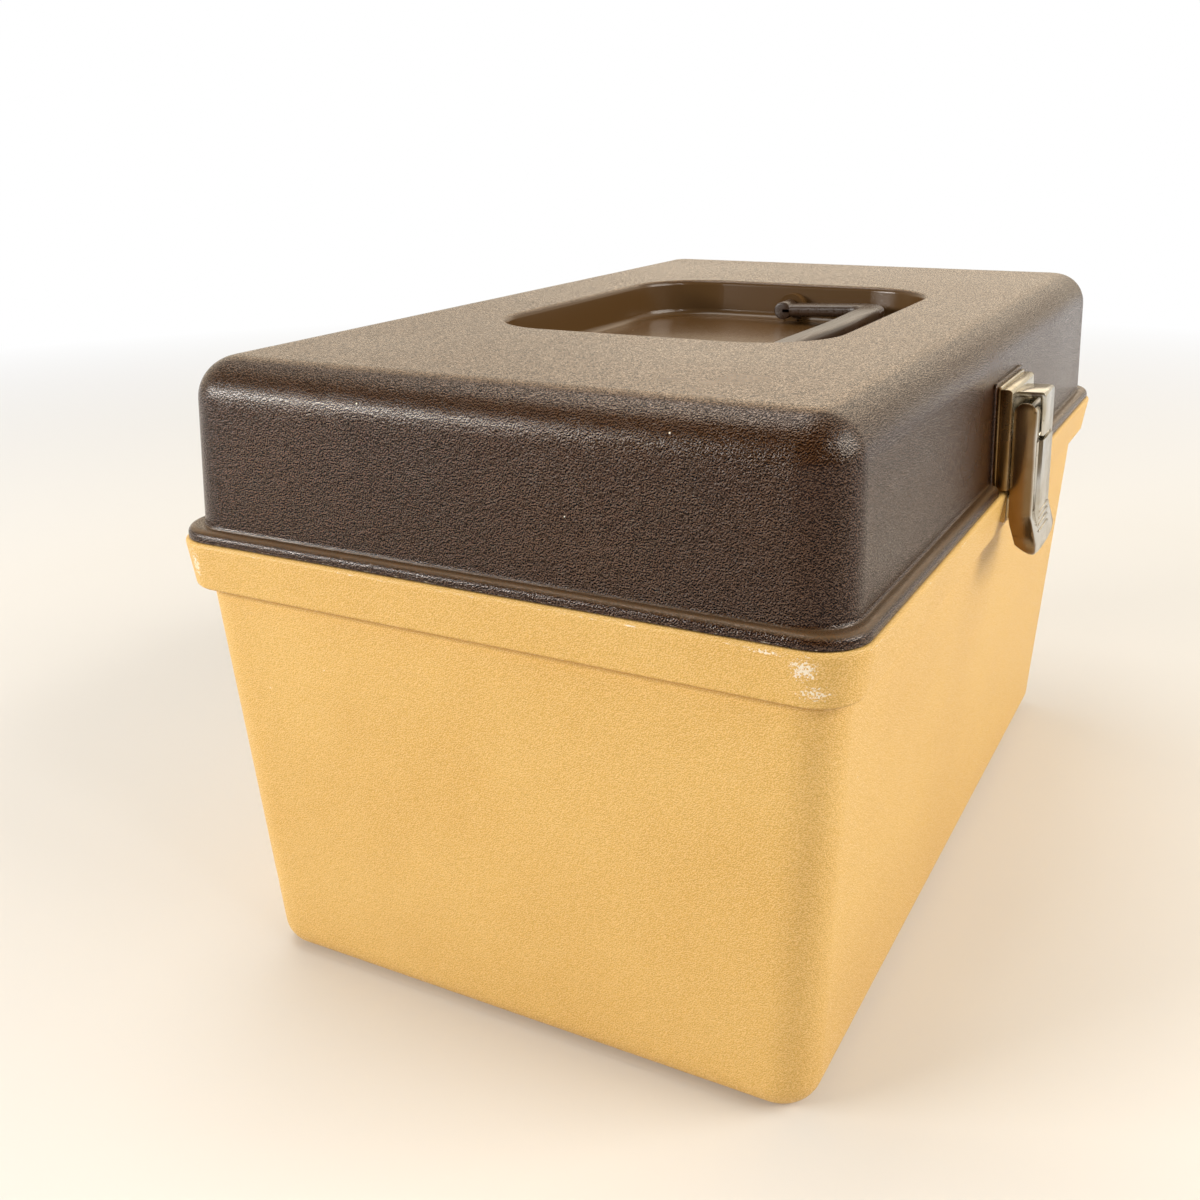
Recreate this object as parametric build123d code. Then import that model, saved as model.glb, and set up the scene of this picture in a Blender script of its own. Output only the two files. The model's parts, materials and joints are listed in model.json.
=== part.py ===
from build123d import *
import math
import os

os.makedirs("parts", exist_ok=True)

# Everything is in millimetres. Z is up, the latch faces -Y, the floor is at z = 0
# and the origin is the middle of the underside.

# Whole box
box_length = 355.6
box_depth = 217.4
box_height = 204.4
split_height = 150.0
running_gap = 0.3

# Base shell
base_wall = 2.8
base_floor = 3.0
base_corner_r = 12.5
base_edge_r = 10.0
base_draft_x = 4.5
base_draft_y = 2.75
rim_height = 15.4
rim_corner_r = 15.0
rim_lean = 2.2
rim_wall = 3.0
rim_overhang = 3.6
rim_edge_r = 1.2
rim_foot_r = 1.6
lip_height = 1.6
lip_wall = 1.8

# Ribs inside the base that carry the tray
rib_top = 128.0
rib_thickness = 3.0
rib_reach = 7.0
rib_pitch_x = 90.0
rib_pitch_y = 90.0

# Lid shell
lid_wall = 2.8
lid_top = 3.0
lid_corner_r = 14.0
lid_top_r = 13.0
lid_draft = 2.0
lid_inset = 4.9
flange_height = 3.8
flange_inset = 1.2
flange_wall = 1.8
flange_edge_r = 2.6
flange_root = 0.9
lip_clearance = 0.4
washer_seat_proud = 1.2
washer_seat_margin = 1.0

# Well in the lid for the handle
well_length = 152.0
well_width = 120.0
well_deep = 14.5
well_corner_r = 28.0
well_draft = 6.0
well_wall = 2.8
well_edge_r = 2.0
well_floor_r = 3.0

# Carry handle, folded flat towards the latch
handle_arm_width = 10.0
handle_thickness = 4.6
handle_grip_width = 8.6
handle_reach = 35.8
handle_bow = 6.5
handle_tilt = 2.5
handle_pivot_drop = 9.2
handle_hub_r = 3.5
handle_end_gap = 0.6
handle_corner_r = 14.0
handle_inner_r = 10.0
handle_edge_r = 1.4
grip_swell_height = 7.4
grip_swell_width = 9.4
grip_swell_length = 104.0
boss_r = 5.6
boss_reach = 5.2
boss_back = 4.6
handle_pin_r = 2.0
handle_pin_grip = 7.0
pin_clearance = 0.05
pin_head_r = 4.0
pin_head_height = 1.5

# Latch on the front, measured square to the lid's front wall
pad_width = 43.0
pad_height = 37.0
pad_thickness = 1.0
pad_corner_r = 2.0
pad_edge_r = 0.4
back_plate_width = 39.6
back_plate_height = 34.8
back_plate_thickness = 1.0
back_plate_drop = 0.4
back_plate_corner_r = 1.0
keeper_width = 37.2
keeper_height = 33.6
keeper_front = 5.55
keeper_bevel = 1.2
keeper_foot = 1.0
strap_width = 16.0
strap_thickness = 1.8
strap_front = 14.3
strap_top = 32.7
strap_tip = 18.2
strap_root = 2.0
strap_bend_r = 1.5
latch_pin_r = 1.2
latch_pin_out = 9.5
latch_pin_height = 26.6
cheek_thickness = 1.4
cheek_r = 2.1
cheek_slope = 1.2
cheek_root = 6.0
lever_width = 32.0
lever_flare_width = 36.0
lever_wall = 1.2
lever_front = 13.1
lever_back = 5.85
lever_ear_r = 3.65
lever_notch_width = 20.0
lever_notch_height = 16.8
lever_bend = -8.0
lever_tip = -21.0
lever_foot_height = 4.0
lever_foot_r = 5.0
lever_flare_height = 6.0
lever_kick = 2.1
lever_edge_r = 1.1
lever_notch_r = 1.2
panel_width = 17.0
panel_front = 14.35
panel_foot = 3.0
panel_edge_r = 0.5
flute_depth = 0.5
flute_margin = 1.0
ridge_count = 4
ridge_r = 0.45
ridge_pitch = 2.1
ridge_start = 2.9
tongue_width = 12.0
tongue_thickness = 0.6
tongue_nose = 8.9
tongue_top = 15.0
tongue_root = 6.0
tongue_turn = 0.4
tongue_foot = 4.0
tongue_gap = 0.6

# Catch on the rim under the latch
catch_margin = 3.2
catch_height = 8.4
catch_drop = 1.2
catch_thickness = 1.0
catch_lip_width = 14.0
catch_lip_reach = 3.9
catch_lip_turn = 3.4
catch_corner_r = 1.2
catch_pad_margin = 1.0
catch_rivet_spacing = 19.6
catch_width = catch_rivet_spacing + 2 * catch_margin

# Hinges at the back
hinge_inset = 65.8
hinge_width = 38.0
hinge_pad_margin = 3.0
hinge_pad_r = 2.0
hinge_leaf_r = 2.5
hinge_pin_proud = 0.6
hinge_pin_end_r = 0.4
hinge_pad_proud = 0.3
hinge_lid_leaf = 24.0
hinge_base_leaf = 13.4
hinge_leaf_thickness = 1.2
hinge_knuckle_r = 2.6
hinge_knuckles = 5
hinge_pin_r = 1.3
hinge_rivet_spacing = 24.0
hinge_rivet_height = 14.0
hinge_rivet_drop = 7.8

# Rivets
rivet_r = 1.6
rivet_head_r = 3.2
rivet_head_height = 1.2
washer_r = 4.4
washer_thickness = 0.8
rivet_tail_r = 2.6
rivet_tail_height = 1.0
keeper_rivet_height = 8.5
keeper_rivet_spacing = 18.0

# Lift-out tray
tray_gap = 3.0
tray_rib_gap = 0.8
tray_foot_r = 3.0
tray_flange_thickness = 2.2
tray_wall = 2.0
tray_floor = 2.0
tray_deep = 28.0
tray_corner_r = 10.0
tray_taper = 2.5
tray_divider_y = 28.0
tray_divider_x = 55.0
tray_end_divider_x = 70.0
tray_tab_width = 34.0
tray_tab_height = 12.0
tray_tab_thickness = 2.4
peg_r = 3.0
peg_top_r = 2.3
peg_collar_r = 5.0
peg_collar_height = 2.5
peg_height = 38.0
peg_spigot_r = 2.4
peg_pitch_x = 54.0
peg_pitch_y = 46.0
peg_rows = 2
peg_columns = 4

# Sizes that follow from the ones above
half_length = box_length / 2
half_depth = box_depth / 2
rim_foot_z = split_height - rim_height
lid_foot_z = split_height + running_gap
lid_wall_y = half_depth - lid_inset
lid_wall_x = half_length - lid_inset
flange_top_z = split_height + flange_height
well_floor_z = box_height - well_deep
pivot_z = box_height - handle_pivot_drop
hinge_pad_y = half_depth + hinge_pad_proud
hinge_axis_out = hinge_knuckle_r + running_gap


def rounded(length, depth, radius, z):
    """A rounded rectangle of full length and depth at height z."""
    return Plane.XY.offset(z) * RectangleRounded(length, depth, radius)


def between(low, high):
    """A straight-sided block from one rounded rectangle to another."""
    return loft([rounded(*low), rounded(*high)])


def block(x, y, z):
    """A box given by its low and high values along each axis."""
    size = (x[1] - x[0], y[1] - y[0], z[1] - z[0])
    middle = ((x[0] + x[1]) / 2, (y[0] + y[1]) / 2, (z[0] + z[1]) / 2)
    return Pos(*middle) * Box(*size)


def rod(radius, start, end, axis, place):
    """A round rod along X or Y from start to end; place gives its other two coordinates."""
    middle = (start + end) / 2
    length = end - start
    if axis == "X":
        return Pos(middle, place[0], place[1]) * Rot(0, 90, 0) * Cylinder(radius, length)
    return Pos(place[0], middle, place[1]) * Rot(90, 0, 0) * Cylinder(radius, length)


def stud(radius, low, high, x, y):
    """A round stud along local Z at x, y."""
    return Pos(x, y, (low + high) / 2) * Cylinder(radius, high - low)


# The latch is drawn lying down: local X along the box, local Y up the lid's wall,
# local Z outwards. This plane stands it on the leaning front wall.
lean = math.radians(lid_draft)
latch_plane = Plane(
    origin=(0, -(lid_wall_y + math.tan(lean) * flange_height), split_height),
    x_dir=(1, 0, 0),
    z_dir=(0, -math.cos(lean), math.sin(lean)),
)
catch_plane = Plane(origin=(0, -half_depth, split_height), x_dir=(1, 0, 0), z_dir=(0, -1, 0))


def hinge_plane(x):
    """The hinge is drawn lying down too, and this plane stands it on its pads."""
    return Plane(origin=(x, hinge_pad_y, split_height), x_dir=(-1, 0, 0), z_dir=(0, 1, 0))


def stand(plane, shape):
    return plane.location * shape


hinge_places = {"left": hinge_inset - half_length, "right": half_length - hinge_inset}


def rivet(x, y, grip, top):
    """One rivet, drawn along local Z: head above top, tail past the washer under the grip."""
    bottom = top - grip - washer_thickness
    shape = stud(rivet_r, bottom, top, x, y)
    shape += stud(rivet_head_r, top, top + rivet_head_height, x, y)
    shape += stud(rivet_tail_r, bottom - rivet_tail_height, bottom, x, y)
    rims = shape.edges().filter_by(GeomType.CIRCLE).group_by(Axis.Z)
    shape = fillet(rims[-1], rivet_head_height * 0.6)
    return shape


def washer(x, y, top):
    return stud(washer_r, top - washer_thickness, top, x, y) - stud(rivet_r, top - 2, top + 1, x, y)


# Base
def base_outline(z, inset):
    """The body of the base, which leans in towards the floor."""
    down = rim_foot_z - z
    along = half_length - rim_lean - rim_overhang - inset
    across = half_depth - rim_lean - rim_overhang - inset
    along -= down * math.tan(math.radians(base_draft_x))
    across -= down * math.tan(math.radians(base_draft_y))
    return (2 * along, 2 * across, base_corner_r - inset, z)


def make_base():
    body = between(base_outline(0, 0), base_outline(rim_foot_z, 0))
    body = fillet(body.faces().sort_by(Axis.Z)[0].edges(), base_edge_r)
    foot = (box_length - 2 * rim_lean, box_depth - 2 * rim_lean, rim_corner_r - rim_lean, rim_foot_z)
    rim = between(foot, (box_length, box_depth, rim_corner_r, split_height))
    rim = fillet(rim.faces().sort_by(Axis.Z)[0].edges(), rim_foot_r)
    rim = fillet(rim.faces().sort_by(Axis.Z)[-1].edges(), rim_edge_r)
    cavity = between(base_outline(base_floor, base_wall), base_outline(rim_foot_z + base_wall, base_wall))
    cavity = fillet(cavity.faces().sort_by(Axis.Z)[0].edges(), base_edge_r - base_wall)
    inner_length = foot[0] - 2 * rim_wall
    inner_depth = foot[1] - 2 * rim_wall
    inner_r = foot[2] - rim_wall
    mouth = between(
        (inner_length, inner_depth, inner_r, rim_foot_z + base_wall),
        (inner_length, inner_depth, inner_r, split_height + lip_height + 1),
    )
    lip = between(
        (inner_length + 2 * lip_wall, inner_depth + 2 * lip_wall, inner_r + lip_wall, split_height - 1),
        (inner_length + 2 * lip_wall, inner_depth + 2 * lip_wall, inner_r + lip_wall, split_height + lip_height),
    )
    latch_room = pad_width / 2 + 2 * lip_clearance
    lip -= block((-latch_room, latch_room), (-box_depth, -half_depth / 2), (split_height, box_height))
    ribs = tray_ribs()
    pads = Part()
    for x in hinge_places.values():
        reach = hinge_width / 2 + hinge_pad_margin
        pads += block((x - reach, x + reach), (inner_depth / 2 + 1, hinge_pad_y), (rim_foot_z + 1, split_height))
    reach = catch_width / 2 + catch_pad_margin
    low = split_height - catch_drop - catch_height - catch_pad_margin
    pads += block((-reach, reach), (-half_depth, -inner_depth / 2 - 1), (low, split_height - rim_edge_r))
    shell = body + rim + lip + pads
    shell = shell - cavity - mouth + ribs
    for x in hinge_places.values():
        for side in (-1, 1):
            place = (x + side * hinge_rivet_spacing / 2, split_height - hinge_rivet_drop)
            shell -= rod(rivet_r, inner_depth / 2 - 2, hinge_pad_y + 1, "Y", place)
    for side in (-1, 1):
        place = (side * catch_rivet_spacing / 2, split_height - catch_drop - catch_height / 2)
        shell -= rod(rivet_r, -half_depth - 1, 2 - inner_depth / 2, "Y", place)
    return shell


def rib_inset():
    """How far the ribs' inner faces are from the middle, along X and along Y."""
    length, depth = base_outline(rib_top, base_wall)[:2]
    return (length / 2 - rib_reach, depth / 2 - rib_reach)


def tray_ribs():
    """Upright ribs on the inside walls; the tray's flange rests on their tops."""
    ribs = Part()
    inset_x, inset_y = rib_inset()
    solid_walls = between(base_outline(base_floor / 2, base_wall / 2), base_outline(rib_top + 1, base_wall / 2))
    solid_walls = fillet(solid_walls.faces().sort_by(Axis.Z)[0].edges(), base_edge_r - base_wall / 2)
    half = rib_thickness / 2
    for i in (-1, 0, 1):
        x = i * rib_pitch_x
        for side in (-1, 1):
            y = sorted((side * inset_y, side * half_depth))
            ribs += block((x - half, x + half), y, (base_floor / 2, rib_top))
    for i in (-0.5, 0.5):
        y = i * rib_pitch_y
        for side in (-1, 1):
            x = sorted((side * inset_x, side * half_length))
            ribs += block(x, (y - half, y + half), (base_floor / 2, rib_top))
    return ribs & solid_walls


# Lid
def lid_outline(z, inset):
    shrink = inset + (z - flange_top_z) * math.tan(lean)
    radius = max(lid_corner_r - inset, 2)
    return (2 * (lid_wall_x - shrink), 2 * (lid_wall_y - shrink), radius, z)


def well_outline(z, grow):
    lean_in = (box_height - z) * math.tan(math.radians(well_draft))
    radius = well_corner_r - lean_in + grow
    return (well_length - 2 * lean_in + 2 * grow, well_width - 2 * lean_in + 2 * grow, radius, z)


def make_lid():
    outer = between(lid_outline(lid_foot_z, 0), lid_outline(box_height, 0))
    outer = fillet(outer.faces().sort_by(Axis.Z)[-1].edges(), lid_top_r)
    flange_length = box_length - 2 * flange_inset
    flange_depth = box_depth - 2 * flange_inset
    flange_r = rim_corner_r - flange_inset
    flange = between(
        (flange_length, flange_depth, flange_r, lid_foot_z), (flange_length, flange_depth, flange_r, flange_top_z)
    )
    flange = fillet(flange.faces().sort_by(Axis.Z)[-1].edges(), flange_edge_r)
    latch_reach = pad_width / 2
    front = -lid_wall_y
    flange -= block((-latch_reach, latch_reach), (-box_depth, front + 1), (0, box_height))
    cove = between(lid_outline(flange_top_z - 1, -flange_root), lid_outline(flange_top_z + flange_root, 0))
    cove -= block((-latch_reach, latch_reach), (-box_depth, front + 1), (0, box_height))
    shell = outer + flange + cove
    shell += stand(latch_plane, lid_pad())
    for x in hinge_places.values():
        reach = hinge_width / 2 + hinge_pad_margin
        top = split_height + hinge_lid_leaf + hinge_pad_margin
        pad = block((x - reach, x + reach), (lid_wall_y - lid_wall, hinge_pad_y), (lid_foot_z, top))
        outside = pad.faces().sort_by(Axis.Y)[-1].edges()
        shell += fillet(outside.filter_by(Axis.Z) + outside.filter_by(Axis.X).sort_by(Axis.Z)[-1:], hinge_pad_r)
    inner = between(lid_outline(lid_foot_z - 1, lid_wall), lid_outline(box_height - lid_top, lid_wall))
    inner = fillet(inner.faces().sort_by(Axis.Z)[-1].edges(), lid_top_r - lid_top)
    shell -= inner
    recess = between(
        (flange_length - 2 * flange_wall, flange_depth - 2 * flange_wall, flange_r - flange_wall, lid_foot_z - 1),
        (
            flange_length - 2 * flange_wall,
            flange_depth - 2 * flange_wall,
            flange_r - flange_wall,
            split_height + lip_height + 2 * lip_clearance,
        ),
    )
    recess -= block(
        (-latch_reach, latch_reach), (-box_depth, front + lid_wall + 1), (0, box_height)
    )
    shell -= recess
    tub = between(well_outline(well_floor_z - well_wall, well_wall), well_outline(box_height - 1, well_wall))
    shell += tub & between(lid_outline(lid_foot_z, 1), lid_outline(box_height - 1, 1))
    well = between(well_outline(well_floor_z, 0), well_outline(box_height + 1, 0))
    well = fillet(well.faces().sort_by(Axis.Z)[0].edges(), well_floor_r)
    shell -= well
    mouth = [e for e in shell.edges().filter_by_position(Axis.Z, box_height - 0.01, box_height + 0.01)]
    mouth = [e for e in mouth if abs(e.center().X) < well_length / 2 + 1 and abs(e.center().Y) < well_width / 2 + 1]
    shell = fillet(mouth, well_edge_r)
    for side in (-1, 1):
        face = side * (well_length / 2 - boss_reach)
        back = side * (well_length / 2 + boss_back)
        low, high = sorted((face, back))
        shell += rod(boss_r, low, high, "X", (0, pivot_z))
        shell -= rod(handle_pin_r, low - 1, high + 1, "X", (0, pivot_z))
    for x in hinge_places.values():
        for side in (-1, 1):
            place = (x + side * hinge_rivet_spacing / 2, split_height + hinge_rivet_height)
            shell += rod(washer_r + washer_seat_margin, lid_seat_y(), lid_wall_y - 1, "Y", place)
            shell -= rod(rivet_r, lid_seat_y() - 1, hinge_pad_y + 1, "Y", place)
    for x, y in keeper_rivet_places():
        shell -= stand(latch_plane, stud(rivet_r, -lid_wall - 2, keeper_front, x, y))
    return shell


def lid_seat_y():
    """Inner seat of the hinge washers, square to the rivets."""
    return lid_wall_y - lid_wall - washer_seat_proud


def lid_pad():
    """The flat pad under the latch, where the flange stops."""
    low = running_gap
    pad = block((-pad_width / 2, pad_width / 2), (low, pad_height), (-lid_wall, pad_thickness))
    upright = pad.edges().filter_by(Axis.Z).group_by(Axis.Y)[-1]
    pad = fillet(upright, pad_corner_r)
    return fillet(pad.faces().sort_by(Axis.Z)[-1].edges().filter_by(Axis.Y), pad_edge_r)


# Carry handle and its pins
def handle_half():
    return well_length / 2 - boss_reach - handle_end_gap


def grip_line(x):
    """How far the middle of the bowed grip is from the pivot, at x."""
    return handle_reach + handle_bow * (1 - (x / handle_half()) ** 2)


def bail_outline(half, near, far, radius):
    """A U-shaped outline: straight arms and a grip that bows away from the pivot."""
    side = Polyline((-half, -near), (-half, 0), (half, 0), (half, -near))
    grip = ThreePointArc((half, -near), (0, -far), (-half, -near))
    face = make_face(side + grip)
    return fillet(face.vertices().group_by(Axis.Y)[0], radius)


def make_handle():
    outer_x = handle_half()
    inner_x = outer_x - handle_arm_width
    half_grip = handle_grip_width / 2
    outer = bail_outline(outer_x, handle_reach + half_grip, grip_line(0) + half_grip, handle_corner_r)
    inner = bail_outline(inner_x, handle_reach - half_grip, grip_line(0) - half_grip, handle_inner_r)
    bail = Pos(0, 0, pivot_z - handle_thickness / 2) * extrude(outer - inner, handle_thickness)
    faces = bail.faces().sort_by(Axis.Z)
    rims = [e for e in faces[0].edges() + faces[-1].edges() if e.center().Y < -0.01]
    bail = fillet(rims, handle_edge_r)
    sections = []
    for share, scale in ((-1, 0.6), (-0.7, 0.95), (0, 1.0), (0.7, 0.95), (1, 0.6)):
        ring = Ellipse(grip_swell_height / 2 * scale, grip_swell_width / 2 * scale)
        x = share * grip_swell_length / 2
        sections.append(Pos(x, -grip_line(x), pivot_z) * Rot(0, 90, 0) * ring)
    bail += loft(sections)
    for side in (-1, 1):
        low, high = sorted((side * inner_x, side * outer_x))
        bail += rod(handle_hub_r, low, high, "X", (0, pivot_z))
        mouth = side * outer_x
        low, high = sorted((mouth - side * (handle_pin_grip + pin_clearance), mouth + side))
        bail -= rod(handle_pin_r + pin_clearance, low, high, "X", (0, pivot_z))
    return Pos(0, 0, pivot_z) * Rot(-handle_tilt, 0, 0) * Pos(0, 0, -pivot_z) * bail


def make_handle_pin(side):
    inner_end = side * (handle_half() - handle_pin_grip)
    seat = side * (well_length / 2 + boss_back)
    low, high = sorted((inner_end, seat + side))
    pin = rod(handle_pin_r, low, high, "X", (0, pivot_z))
    low, high = sorted((seat, seat + side * pin_head_height))
    return pin + rod(pin_head_r, low, high, "X", (0, pivot_z))


# Latch parts, drawn lying down
def keeper_rivet_places():
    return [(side * keeper_rivet_spacing / 2, keeper_rivet_height) for side in (-1, 1)]


def keeper_floor():
    return pad_thickness + back_plate_thickness


def make_back_plate():
    low = running_gap + keeper_foot - back_plate_drop
    plate = block(
        (-back_plate_width / 2, back_plate_width / 2), (low, low + back_plate_height), (pad_thickness, keeper_floor())
    )
    plate = fillet(plate.edges().filter_by(Axis.Z), back_plate_corner_r)
    for x, y in keeper_rivet_places():
        plate -= stud(rivet_r, 0, keeper_front, x, y)
    return plate


def make_keeper():
    low = running_gap + keeper_foot
    keeper = block(
        (-keeper_width / 2, keeper_width / 2), (low, low + keeper_height), (keeper_floor(), keeper_front)
    )
    top = keeper.faces().sort_by(Axis.Z)[-1].edges()
    upper = top.filter_by(Axis.X).sort_by(Axis.Y)[-1:]
    keeper = chamfer(upper, keeper_bevel)
    sides = keeper.faces().sort_by(Axis.Z)[-1].edges().filter_by(Axis.Y)
    keeper = chamfer(sides, keeper_bevel / 2)
    reach = lever_width / 2 - lever_wall - running_gap
    arm = make_face(
        Polyline(
            (keeper_front - 1, latch_pin_height - cheek_root),
            (latch_pin_out, latch_pin_height - cheek_r),
            (latch_pin_out, latch_pin_height + cheek_r),
            (keeper_front - 1, latch_pin_height + cheek_r - cheek_slope),
            close=True,
        )
    )
    arm += Pos(latch_pin_out, latch_pin_height) * Circle(cheek_r)
    for side in (-1, 1):
        low, high = sorted((side * reach, side * (reach - cheek_thickness)))
        keeper += across_x(arm, low, high)
    keeper -= latch_axis_rod(latch_pin_r, keeper_width)
    for x, y in keeper_rivet_places():
        keeper -= stud(rivet_r, 0, keeper_front + 1, x, y)
    keeper -= strap_root_block()
    return keeper


def across_x(face, low, high):
    """Extrudes a face drawn in (out, up) coordinates from x = low to x = high."""
    turned = Plane(origin=(low, 0, 0), x_dir=(0, 0, 1), z_dir=(-1, 0, 0)).location * face
    return extrude(turned, -(high - low))


def latch_axis_rod(radius, length):
    return Pos(0, latch_pin_height, latch_pin_out) * Rot(0, 90, 0) * Cylinder(radius, length)


def strap_root_block():
    low = strap_top - strap_thickness
    return block((-strap_width / 2, strap_width / 2), (low, strap_top), (keeper_front - strap_root, keeper_front + 0.5))


def make_strap():
    half = strap_width / 2
    low = strap_top - strap_thickness
    top = block((-half, half), (low, strap_top), (keeper_front - strap_root, strap_front))
    leg = block((-half, half), (strap_tip, strap_top), (strap_front - strap_thickness, strap_front))
    strap = top + leg
    corner = strap.edges().filter_by(Axis.X).group_by(Axis.Y)[-1].sort_by(Axis.Z)[-1]
    return fillet(corner, strap_bend_r)


def make_latch_pin():
    return latch_axis_rod(latch_pin_r, lever_width - 0.2)


def lever_front_profile():
    """Side view of the lever's front sheet, with the outward kick at its foot."""
    inner = lever_front - lever_wall
    kick_foot = lever_tip + lever_foot_height
    return make_face(
        Polyline(
            (inner, latch_pin_height + lever_ear_r),
            (lever_front, latch_pin_height + lever_ear_r),
            (lever_front, lever_bend),
            (lever_front + lever_kick, kick_foot),
            (lever_front + lever_kick, lever_tip),
            (inner + lever_kick, lever_tip),
            (inner + lever_kick, kick_foot),
            (inner, lever_bend),
            close=True,
        )
    )


def ear_limit():
    """Round end about the pin, so that the ears clear the keeper as the lever turns."""
    low = lever_tip - 5
    below = Pos(latch_pin_out, (latch_pin_height + low) / 2) * Rectangle(40, latch_pin_height - low)
    return below + Pos(latch_pin_out, latch_pin_height) * Circle(lever_ear_r)


def lever_side_profile():
    inner = lever_front - lever_wall
    kick_foot = lever_tip + lever_foot_height
    edge = Spline(
        (lever_back, lever_bend + 3.0),
        (lever_back + 0.6, lever_bend - 4.5),
        (lever_back + 3.2, lever_bend - 9.5),
        (inner + lever_kick, lever_tip + 0.4),
        tangents=((0, -1), (1, -0.25)),
    )
    rest = Polyline(
        edge @ 1,
        (inner + lever_kick, kick_foot),
        (lever_front, lever_bend),
        (lever_front, latch_pin_height + lever_ear_r),
        (lever_back, latch_pin_height + lever_ear_r),
        edge @ 0,
    )
    return make_face(edge + rest) & ear_limit()


def lever_outline():
    """Front view of the lever: ears, notch, straight sides and the flared foot."""
    half = lever_width / 2
    flare = lever_flare_width / 2
    top = latch_pin_height + lever_ear_r + 1
    face = make_face(
        Polyline(
            (-half, top),
            (half, top),
            (half, lever_bend),
            (flare, lever_tip + lever_flare_height),
            (flare, lever_tip),
            (-flare, lever_tip),
            (-flare, lever_tip + lever_flare_height),
            (-half, lever_bend),
            close=True,
        )
    )
    face = fillet(face.vertices().group_by(Axis.Y)[0], lever_foot_r)
    notch_top = top + 1
    notch = Pos(0, (lever_notch_height + notch_top) / 2) * Rectangle(lever_notch_width, notch_top - lever_notch_height)
    notch = fillet(notch.vertices().group_by(Axis.Y)[0], lever_notch_r)
    return face - notch


def make_lever():
    flare = lever_flare_width / 2
    sheet = across_x(lever_front_profile() & ear_limit(), -flare, flare)
    sheet &= extrude(lever_outline(), 30)
    lever = sheet
    half = lever_width / 2
    for side in (-1, 1):
        low, high = sorted((side * half, side * (half - lever_wall)))
        lever += across_x(lever_side_profile(), low, high)
    long_edges = lever.edges().filter_by(Axis.Y)
    long_edges = [
        e for e in long_edges if abs(abs(e.center().X) - half) < 0.01 and abs(e.center().Z - lever_front) < 0.01
    ]
    lever = fillet(long_edges, lever_edge_r)
    panel = block(
        (-panel_width / 2, panel_width / 2),
        (lever_bend - panel_foot, lever_notch_height),
        (lever_front - lever_wall / 3, panel_front),
    )
    panel = fillet(panel.faces().sort_by(Axis.Z)[-1].edges().filter_by(Axis.Y), panel_edge_r)
    lever += panel
    flute_in = panel_width / 2
    flute_out = half - lever_edge_r - flute_margin
    for side in (-1, 1):
        x = side * (flute_in + flute_out) / 2
        slot = Pos(x, (lever_bend + lever_notch_height) / 2) * RectangleRounded(
            flute_out - flute_in, lever_notch_height - lever_bend, (flute_out - flute_in) / 2 - 0.01
        )
        lever -= Pos(0, 0, lever_front - flute_depth) * extrude(slot, flute_depth + 0.05)
    slope = math.atan2(lever_kick, lever_bend - (lever_tip + lever_foot_height))
    for i in range(ridge_count):
        y = lever_bend - ridge_start - i * ridge_pitch * math.cos(slope)
        z = min(lever_front + (lever_bend - y) * math.tan(slope), lever_front + lever_kick)
        bar = Pos(0, y, z) * Rot(0, 90, 0) * Cylinder(ridge_r, panel_width)
        lever += bar
    lever -= latch_axis_rod(latch_pin_r + pin_clearance, lever_width + 2)
    return lever


def make_tongue():
    """Spring tongue inside the lever, whose nose sits under the catch's lip."""
    seat = lever_front - lever_wall - tongue_thickness / 2
    line = Polyline(
        (seat, lever_bend + tongue_top),
        (seat, lever_bend + tongue_root),
        (tongue_nose + tongue_thickness / 2, lever_bend - tongue_turn),
        (seat - tongue_gap, lever_bend - tongue_foot),
    )
    strip = trace(line, tongue_thickness)
    half = tongue_width / 2
    return across_x(strip, -half, half)


def make_catch():
    """Plate on the rim with a lip that turns down, drawn lying down."""
    top = -catch_drop
    low = top - catch_height
    half = catch_width / 2
    plate = block((-half, half), (low, top), (0, catch_thickness))
    plate = fillet(plate.edges().filter_by(Axis.Z), catch_corner_r)
    lip_half = catch_lip_width / 2
    out = block((-lip_half, lip_half), (top - catch_thickness, top), (catch_thickness / 2, catch_lip_reach))
    turn = block(
        (-lip_half, lip_half), (top - catch_lip_turn, top), (catch_lip_reach - catch_thickness, catch_lip_reach)
    )
    lip = out + turn
    corner = lip.edges().filter_by(Axis.X).group_by(Axis.Y)[-1].sort_by(Axis.Z)[-1]
    plate += fillet(corner, catch_thickness * 0.7)
    for side in (-1, 1):
        plate -= stud(rivet_r, -1, 3, side * catch_rivet_spacing / 2, -catch_drop - catch_height / 2)
    return plate


# Hinges, drawn lying down
def knuckle_ranges(owner):
    """Ranges along X of the knuckles that one leaf owns: the base has the odd ones."""
    pitch = hinge_width / hinge_knuckles
    start = 0 if owner == "base" else 1
    ranges = []
    for i in range(start, hinge_knuckles, 2):
        low = -hinge_width / 2 + i * pitch + running_gap / 2
        ranges.append((low, low + pitch - running_gap))
    return ranges


def hinge_rod(radius, low, high):
    return Pos((low + high) / 2, 0, hinge_axis_out) * Rot(0, 90, 0) * Cylinder(radius, high - low)


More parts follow.
